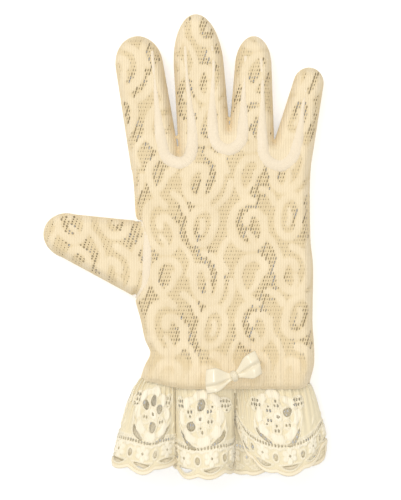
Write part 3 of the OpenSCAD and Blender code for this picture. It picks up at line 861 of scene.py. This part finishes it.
# %% Shape of the cuff in space
# places round the cuff: a point of the gathered edge (x, y, z), then one of the outer edge (x, y, z)
CUFF = np.array([
    # left side
    (-21.8, -66.0, 5.0, -36.6, -107.0, 4.0), (-21.2, -66.2, 8.0, -35.2, -108.6, 9.5),
    # first flute
    (-18.0, -67.2, 9.0, -28.0, -110.0, 14.6), (-13.0, -68.4, 9.2, -19.0, -112.0, 16.6),
    (-9.0, -69.4, 9.2, -10.6, -108.9, 14.2), (-5.6, -70.0, 8.9, -4.8, -107.8, 8.0),
    # valley
    (-5.4, -70.0, 7.8, -7.0, -107.0, 3.2), (-4.9, -70.0, 7.8, -6.0, -108.6, 3.4),
    # second flute
    (-4.4, -70.1, 9.0, -3.6, -111.6, 8.6), (-1.5, -70.2, 9.2, 1.2, -114.2, 14.6),
    (6.5, -70.3, 9.2, 9.4, -114.6, 17.0), (15.0, -70.3, 9.2, 17.6, -113.0, 15.6),
    (22.0, -70.3, 9.0, 22.4, -112.2, 10.6),
    # valley
    (24.2, -70.2, 8.2, 24.4, -109.4, 5.0), (24.0, -70.2, 7.4, 23.0, -104.0, 2.4),
    (24.6, -70.2, 7.8, 25.0, -88.0, 3.0), (25.2, -70.2, 8.8, 27.4, -94.0, 7.2),
    # third flute
    (28.5, -70.3, 9.2, 31.4, -103.0, 11.8), (34.0, -70.3, 9.2, 38.6, -109.6, 15.2),
    (43.0, -70.3, 9.2, 48.0, -112.6, 17.2), (53.0, -70.0, 9.2, 58.6, -110.6, 15.2),
    (59.0, -69.2, 8.8, 65.2, -104.8, 10.8),
    # right side
    (61.5, -68.8, 7.4, 69.8, -97.0, 6.0), (61.7, -68.6, 5.0, 70.0, -99.0, 3.6),
    # back layer
    (60.6, -70.4, 2.6, 68.8, -106.4, 2.4), (50.0, -71.8, 1.4, 56.0, -110.4, 1.8),
    (38.0, -72.0, 1.6, 41.0, -111.4, 3.2), (30.0, -72.0, 1.4, 31.4, -114.4, 3.4),
    (20.0, -72.0, 1.6, 21.0, -111.4, 1.8), (8.0, -72.0, 1.4, 7.0, -113.2, 2.4),
    (-4.0, -72.0, 1.6, -6.0, -108.0, 1.6), (-13.0, -70.8, 1.4, -20.0, -110.8, 2.2),
    (-20.4, -68.6, 2.0, -33.0, -107.4, 1.8),
    # left side again
    (-21.8, -66.0, 5.0, -36.6, -107.0, 4.0),
])
CUFF_DEEP = 41.0  # depth of the strip from its gathers to its edge
FINE = 0.42  # size of the cloth's faces
SCALLOP_PITCH, SCALLOP = 14.5, 1.7  # length and depth of a scallop
TUCK = 1.1  # the gathered edge is tucked this far up under the hem
STEPS = 24  # points of the curve to each place
CUFF[:, 1] += TUCK
cuff_curve = curve_through(CUFF, STEPS)
cuff_along = np.concatenate([[0], np.cumsum(np.linalg.norm(np.diff(cuff_curve[:, 3:], axis=0), axis=1))])
scallops = int(round(cuff_along[-1] / SCALLOP_PITCH))
cuff_along *= scallops * SCALLOP_PITCH / cuff_along[-1]
CUFF_LONG = cuff_along[-1]
MIDDLE_Z, TABLE_GAP = 4.5, 0.4  # pleats stand away from this level, and the cloth stays this far off the table
print("cuff edge:", round(float(CUFF_LONG)), "mm long,", scallops, "scallops")


def cuff_place(along, up):
    """A point of the cuff from its flat place: along the edge, and up from the edge towards the gathers.

    The strip is ruled between its two edges. Its width opens by share^0.66 and its height by share^0.85, so a
    flute leaves the wrist steeply and then runs out level, and small pleats fade from the gathers outwards.
    """
    rim = np.stack([np.interp(along % CUFF_LONG, cuff_along, cuff_curve[:, k]) for k in range(6)], axis=-1)
    share = np.clip(1 - up / CUFF_DEEP, 0, 1.1)[..., None]
    opened = np.concatenate([share**0.66, share, share**0.85], axis=-1)
    place = rim[..., :3] + (rim[..., 3:] - rim[..., :3]) * opened
    pleat = np.sin(2 * np.pi * along / 4.3 + 2.6 * np.sin(along / 8.3)) * (0.65 + 0.35 * np.sin(along / 5.3))
    fold = 0.8 * (1 - share[..., 0]) ** 1.3 * pleat
    place[..., 2] = np.maximum(place[..., 2] + fold * np.sign(place[..., 2] - MIDDLE_Z), TABLE_GAP)
    return place


# %% [markdown]
# ## Flowers and border of the cuff lace
# Each flute shows one large flower: six ovals round a small heart, a few of them cut open and the
# others filled with net, then a ring of scalloped petals in close stitches. Along the edge runs a
# border of small flowers between two rows of slots. Each hole is a rounded shape with a signed
# distance, negative inside, and the cloth's points are pulled onto its rim before the faces inside
# are left out. A transparent texture would be lighter to make, but its holes would have no rims
# and would not be part of the shape.

# %% Pattern of the cuff on the flat strip
FLOWER_UP = 27.0
BORDER_UP = 8.8  # height of the small flowers above the edge
SLOT_PITCH, SLOT_ROW = 1.7, 2.3  # the cuff's net, from slot to slot and from row to row
place_along = cuff_along[::STEPS]  # where each place of CUFF is along the edge
FLOWERS = np.interp([3, 10, 19, 25.5, 29, 31.5], np.arange(len(place_along)), place_along)
# for each flower, which of its six ovals are open, from the top one clockwise; the others are netted
OPEN_OVALS = np.array([[1, 1, 0, 1, 0, 1], [1, 0, 0, 0, 1, 0], [0, 1, 0, 0, 0, 0], [0] * 6, [0] * 6, [0] * 6], bool)
FRONT_END = np.interp(23.5, np.arange(len(place_along)), place_along)  # the layer below has only net from here


def oval(x, y, half_x, half_y):
    """Nearly the distance to an ellipse: the scaled radius less one, times the smaller half width."""
    return (np.hypot(x / half_x, y / half_y) - 1) * min(half_x, half_y)


def scallop_rise(along):
    """Height of the scalloped edge: lowest at the middle of each scallop."""
    return SCALLOP * (1 - np.abs(np.sin(np.pi * along / SCALLOP_PITCH)))


def about_flower(along, up):
    """Radius and angle, from straight up, about the nearest large flower, which is drawn a little uneven."""
    dx = np.stack([wrapped(along - heart, CUFF_LONG) for heart in FLOWERS])
    which = np.abs(dx).argmin(axis=0)
    dx = np.take_along_axis(dx, which[None], 0)[0]
    dy = up - FLOWER_UP
    dx, dy = dx + 0.8 * np.sin(dy / 3.1 + 2 * which), dy + 0.8 * np.sin(dx / 3.6 + 3 * which)
    return np.hypot(dx, dy), np.arctan2(dx, dy), dx, dy, which


def about_border(along, up):
    """The same about the nearest small flower of the border."""
    dx = along % SCALLOP_PITCH - SCALLOP_PITCH / 2
    dy = up - BORDER_UP
    return np.hypot(dx, dy), np.arctan2(dx, dy), dx, dy


def net_slots(along, up):
    """A staggered net of upright slots."""
    row = np.round(up / SLOT_ROW)
    return oval(wrapped(along + SLOT_PITCH / 2 * (row % 2), SLOT_PITCH), up - row * SLOT_ROW, 0.5, 0.85)


def flower_ovals(r, angle):
    """The six ovals round the heart of a large flower, and the number of the nearest, from the top one clockwise."""
    turn = np.round(angle / (np.pi / 3)).astype(int) % 6
    return oval(r - 5.9, wrapped(angle, np.pi / 3) * r, 2.5, 2.0), turn


def cuff_openings(along, up):
    """Signed distance to the nearest hole: ovals and net in the flowers, crescents below them, lenses at the edge."""
    r, angle, dx, dy, which = about_flower(along, up)
    net = net_slots(along, up)
    ovals, turn = flower_ovals(r, angle)
    flower = np.where(OPEN_OVALS[which, turn], ovals, np.maximum(ovals + 0.3, net))
    beside = oval(np.abs(dx) - 12.4, dy - 6.0, 3.6, 3.0)
    band = np.maximum(np.abs(up - 14.0) - 1.5, 12.8 - r)
    below = np.abs(angle) - 2.45
    crescent = np.maximum(np.abs(r - 13.6) - np.cos(below * 2.6), np.abs(below) - 0.42)
    holes = np.minimum(flower, np.maximum(net, np.minimum(beside, band)))
    holes = np.minimum(np.minimum(holes, crescent), oval(dx, dy, 0.8, 0.8))
    r, _, dx, dy = about_border(along, up)
    lens = np.abs(up - scallop_rise(along) - 3.5) - 1.05 * (1 - (dx / 5.0) ** 2)
    slot = oval(np.abs(dx) - SCALLOP_PITCH / 2, dy + 0.6, 1.2, 1.7)
    holes = np.minimum(np.minimum(holes, lens), np.minimum(r - 0.65, slot))
    return np.where(along < FRONT_END, holes, np.maximum(holes, net))


def cuff_closed(along, up):
    """How closely worked the cloth is: petals, small flowers and the rims of holes near 1, the ground near 0."""
    r, angle = about_flower(along, up)[:2]
    lobe = np.abs(np.cos(4.0 * angle))
    reach = 10.6 + 1.9 * lobe
    petals = smoothstep(8.2, 8.8, r) * (1 - smoothstep(reach - 0.5, reach + 0.3, r))
    petals *= 0.35 + 0.65 * smoothstep(0.1, 0.5, lobe)
    outline = np.exp(-(((r - reach) / 0.45) ** 2)) * (r < 14)
    heart = 1 - smoothstep(1.8, 3.0, r)
    from_rim = np.minimum(np.abs(cuff_openings(along, up)), np.abs(flower_ovals(r, angle)[0]))
    rims = 0.85 * np.exp(-((from_rim - 0.4) / 0.35) ** 2)
    veins = 0.5 * smoothstep(0.75, 1.0, np.sin(along / 1.9 + 2.2 * np.sin(up / 5.5)) * np.cos(up / 3.3)) * (r > 13)
    r, angle = about_border(along, up)[:2]
    reach = 3.0 + 1.1 * np.abs(np.cos(3 * angle))
    small = 1 - smoothstep(reach - 0.4, reach + 0.3, r)
    small *= 0.6 + 0.4 * smoothstep(0.1, 0.5, np.abs(np.cos(3 * angle)))
    band = np.exp(-(((up - 12.2 - 0.5 * np.cos(2 * np.pi * along / 4.83)) / 0.5) ** 2))
    return np.clip(np.maximum.reduce([petals, outline, heart, rims, veins, small, band]), 0, 1)


# %% [markdown]
# ## Weaving the cuff
# The strip is a fine grid of faces on the flat cloth. Its points move onto the rims of the holes, then
# up into the flutes, and closed stitches are raised along the surface's own direction, as thick thread
# is on lace. Faces in a hole are left out last.

# %% Weave the cuff
RELIEF = 0.75  # closed stitches stand this far out
steps_along, steps_up = int(CUFF_LONG / FINE), int(CUFF_DEEP / FINE)
along, rows = np.meshgrid(np.linspace(0, CUFF_LONG, steps_along, endpoint=False), np.linspace(0, 1, steps_up))
edge_up = scallop_rise(along)
up = edge_up + (CUFF_DEEP - edge_up) * rows
gap = cuff_openings(along, up)
slope_x = (cuff_openings(along + 0.05, up) - cuff_openings(along - 0.05, up)) / 0.1
slope_y = (cuff_openings(along, up + 0.05) - cuff_openings(along, up - 0.05)) / 0.1
# points close to a rim move onto it, down the slope of the distance
pull = np.where((np.abs(gap) < 0.55 * FINE) & (rows > 0), gap / np.maximum(slope_x**2 + slope_y**2, 0.2), 0)
along, up = along - pull * slope_x, up - pull * slope_y
closed = cuff_closed(along, up)
place = cuff_place(along, up)
normal = np.cross(np.gradient(place, axis=1), np.gradient(place, axis=0))
normal /= np.maximum(np.linalg.norm(normal, axis=-1, keepdims=True), 1e-9)
place += normal * (RELIEF * closed)[..., None]
faces = grid_faces(steps_up, steps_along, closed=True)
open_face = cuff_openings(along, up).ravel()[faces].mean(axis=1) < -0.02
ruffle = make_piece("cuff_ruffle_lace", place.reshape(-1, 3), [faces[~open_face]], RUFFLE,
                    flat=np.stack([along, up], axis=-1).reshape(-1, 2), marks=dict(pattern=closed.ravel()))
print("cuff holes:", int(open_face.sum()), "faces left out")


def bend_cuff(piece):
    """Bake a cuff piece's place into its points."""
    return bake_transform(piece)


bend_cuff(ruffle)
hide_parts("cuff_ruffle")

# %% [markdown]
# ## The cord along the scallops
# A thick gimp cord finishes the edge. It is a flattened tube carried round the whole scalloped edge,
# on the same flat places as the cloth.

# %% Edge cord
CORD_WIDE, CORD_HIGH, TWIST = 1.0, 0.65, 1.5  # half width, half height, and the length of one twist
around = 12
cord_along = np.linspace(0, CUFF_LONG, int(CUFF_LONG / 0.6), endpoint=False)
cord_up = scallop_rise(cord_along) + 0.5
core = cuff_place(cord_along, cord_up)
inward = cuff_place(cord_along, cord_up + 1.0) - core
inward /= np.linalg.norm(inward, axis=1, keepdims=True)
run = np.roll(core, -1, axis=0) - np.roll(core, 1, axis=0)
run /= np.maximum(np.linalg.norm(run, axis=1, keepdims=True), 1e-9)
over = np.cross(run, inward)
over /= np.maximum(np.linalg.norm(over, axis=1, keepdims=True), 1e-9)
a = np.linspace(0, 2 * np.pi, around, endpoint=False)
twist = 1 + 0.08 * np.sin(2 * np.pi * cord_along / TWIST)[:, None]
wide, high = CORD_WIDE * np.cos(a) * twist, CORD_HIGH * np.sin(a) * twist
tube = core[:, None] + inward[:, None] * wide[..., None] + over[:, None] * high[..., None]
tube[..., 2] = np.maximum(tube[..., 2], 0.1)
# the last ring joins the first
cord_faces = grid_faces(len(core) + 1, around, closed=True)[:, [0, 3, 2, 1]] % (len(core) * around)
flat = np.stack(np.broadcast_arrays(a, cord_along[:, None]), axis=-1).reshape(-1, 2)
edge_cord = bend_cuff(make_piece("cuff_edge_cord", tube.reshape(-1, 3), [cord_faces], CORD, flat=flat))

# %% [markdown]
# ## The satin bow
# Two loops of satin ribbon are pinched by a knot. Each loop leaves the knot, swings out and comes back
# over itself. The ribbon is narrow and pleated at the knot and opens to its full width in the loop.
# A few sines along and across the ribbon draw this, and keep the loops' size exact.

# %% Satin
SATIN, tree, shader = new_finish("satin ribbon")
weft = on_cloth(tree, FINE_THREADS, Threads_per_cm=26.0, Uneven=0.2)
# painted shade: the darker satin colour goes into the low places between weft threads
tree.links.new(mix_colours(tree, weft, linear(220, 208, 179), linear(235, 225, 201)), shader.inputs["Base Color"])
add_relief(tree, shader, weft, 0.12, 0.0001)
shader.inputs["Roughness"].default_value = 0.3
shader.inputs["Sheen Weight"].default_value = 0.3
shader.inputs["Specular IOR Level"].default_value = 0.6

# %% Loops and knot
KNOT_AT, BOW_TURN, BOW_Z = (24.2, -63.5), 21.0, 16.3  # place on the hem, turn in degrees, height
LOOP_REACH, LOOP_HIGH, RIBBON_W = 14.3, 5.2, 11.6
KNOT_R = 1.2  # a loop starts this far from the middle of the knot
LOOP_ROWS, LOOP_COLUMNS = 57, 25  # points along a loop and across the ribbon


def bow_place(points):
    """From the bow's own frame, across the wrist, to its place on the hem."""
    flat = turned(points[:, :2], BOW_TURN, KNOT_AT)
    return np.column_stack([flat, points[:, 2] + BOW_Z])


def ribbon_loop(name, side, lift, lean, crease_at):
    """A loop: out below and back above, by a sine of the way along; width opens with distance from the knot.

    u runs from 0 to 1 along the ribbon and v from -1 to 1 across it. Pleats at the knot are sines of v that
    fade as the ribbon opens, and one soft crease runs along the upper half at crease_at.
    """
    u, v = np.meshgrid(np.linspace(0, 1, LOOP_ROWS), np.linspace(-1, 1, LOOP_COLUMNS), indexing="ij")
    swing = np.sin(np.pi * u)
    out = KNOT_R + (LOOP_REACH - KNOT_R) * swing**0.8
    open_share = smoothstep(1.0, 9.5, out)
    half = 1.8 + (RIBBON_W / 2 - 1.8) * open_share
    high = -LOOP_HIGH / 2 * np.cos(np.pi * u) * np.minimum(1, swing * 1.6) * (0.55 + 0.45 * open_share)
    pleat = 0.6 * (1 - open_share) * np.cos(3 * np.pi * v)
    pleat = pleat + (0.7 * np.sin(3.4 * v + 0.8) + 0.35 * np.sin(7 * v)) * (1.25 - open_share)
    crown = 0.8 * (1 - v**2) * swing * smoothstep(0.4, 0.6, u) * open_share
    crease = -1.5 * np.exp(-(((v - crease_at) / 0.17) ** 2)) * smoothstep(0.45, 0.62, u) * smoothstep(0, 0.25, swing)
    out = out - 0.6 * v**2 * smoothstep(0.2, 1.0, swing) + 1.2 * v * swing
    points = np.stack([side * out, v * half * side + 0.4 * swing, high + pleat * swing + crown + crease + lift],
                      axis=-1).reshape(-1, 3)
    points[:, :2] = turned(points[:, :2], lean, (0, 0))
    flat = np.stack([v * RIBBON_W / 2, u * 2.2 * LOOP_REACH], axis=-1).reshape(-1, 2)
    loop = make_piece(name, bow_place(points), [grid_faces(LOOP_ROWS, LOOP_COLUMNS)[:, ::-1]], SATIN, flat=flat)
    skin = loop.modifiers.new("ribbon thickness", "SOLIDIFY")
    skin.thickness, skin.offset = 0.35 * MM, 0
    return loop


left_loop = ribbon_loop("bow_left_satin_loop", -1, 0.0, -8.0, 0.45)
right_loop = ribbon_loop("bow_right_satin_loop", 1, 0.2, 8.0, -0.05)
u, v = np.meshgrid(np.linspace(0, 2 * np.pi, 48, endpoint=False), np.linspace(-1, 1, 21))
round_off = np.sqrt(np.clip(1 - np.abs(v) ** 4, 0, 1))
pleats = 1 + 0.05 * np.cos(5 * np.pi * v)
knot_points = np.stack([1.6 * v + 0.25 * np.sin(u), 2.8 * np.cos(u) * round_off * pleats,
                        3.2 * np.sin(u) * round_off * pleats], axis=-1).reshape(-1, 3)
knot = make_piece("bow_satin_knot", bow_place(knot_points), [grid_faces(21, 48, closed=True)], SATIN,
                  flat=np.stack([v * 4, u * 3], axis=-1).reshape(-1, 2))
for piece, node in ((left_loop, "bow_left_loop"), (right_loop, "bow_right_loop"), (knot, "bow_knot")):
    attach(piece, "bow")
    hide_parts(node)

# %% [markdown]
# ## The tack that holds the bow
# A few turns of thread under the knot hold the bow to the hem. The working part has the right
# shape, so it only gets the thread's finish.

# %% Thread finish for the tack
thread, tree, shader = new_finish("tack thread")
where = tree.nodes.new("ShaderNodeTexCoord")
turns = tree.nodes.new("ShaderNodeTexWave")
turns.bands_direction = "Z"
turns.inputs["Scale"].default_value = 600.0
tree.links.new(where.outputs["Object"], turns.inputs["Vector"])
# painted shade: the darker bands lie in the grooves between turns of thread, the lighter ones on their crowns
turns_with_painted_shade = mix_colours(tree, turns.outputs["Fac"], linear(226, 206, 168), linear(250, 240, 216))
tree.links.new(turns_with_painted_shade, shader.inputs["Base Color"])
shader.inputs["Roughness"].default_value = 0.8
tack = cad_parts["bow_tack_thread"]
tack.data.materials.clear()
tack.data.materials.append(thread)

# %% [markdown]
# ## Table, light and camera
# The glove lies on a plain white table. A wide window light comes from the upper left and a small
# lamp hangs straight above, almost in line with the camera, so that most shadows hide under the
# cloth and the lamp still reaches the bright table through the holes. The camera looks straight down.

# %% Table
paint, tree, shader = new_finish("white table")
shader.inputs["Base Color"].default_value = (0.97, 0.97, 0.97, 1)
shader.inputs["Roughness"].default_value = 0.9
table_corners = np.array([(-1, -1, 0), (1, -1, 0), (1, 1, 0), (-1, 1, 0)]) * 900.0
table = make_piece("table", table_corners, [np.array([[0, 1, 2, 3]])], paint)


# %% Lights
OVER_GLOVE = (0.00755, -0.00125)  # the middle of the glove as it lies, in metres


def soft_light(name, place, size, power, aim=(0.0, 0.0, 0.0)):
    """A square area light at a place, turned to face the aim."""
    lamp = bpy.data.lights.new(name, "AREA")
    lamp.size, lamp.energy = size, power
    holder = bpy.data.objects.new(name, lamp)
    holder.location = place
    x, y, z = np.array(aim) - np.array(place)
    holder.rotation_euler = (np.arctan2(np.hypot(x, y), -z), 0, np.arctan2(y, x) + 1.5 * np.pi)
    bpy.context.scene.collection.objects.link(holder)


soft_light("window", (-0.75, 0.75, 1.0), 0.6, 5.2)
soft_light("overhead", (*OVER_GLOVE, 1.4), 0.12, 9.6, (*OVER_GLOVE, 0.0))
world = bpy.data.worlds.new("room")
world.use_nodes = True
background = world.node_tree.nodes["Background"]
background.inputs["Color"].default_value = (1.0, 0.99, 0.97, 1)
background.inputs["Strength"].default_value = 0.6
bpy.context.scene.world = world
bpy.context.scene.view_settings.view_transform = "Standard"

# %% Camera
camera = bpy.data.cameras.new("camera")
camera.lens, camera.sensor_width, camera.sensor_fit = 172.8, 36.0, "AUTO"
eye = bpy.data.objects.new("camera", camera)
eye.location = (*OVER_GLOVE, 1.2)
bpy.context.scene.collection.objects.link(eye)
bpy.context.scene.camera = eye
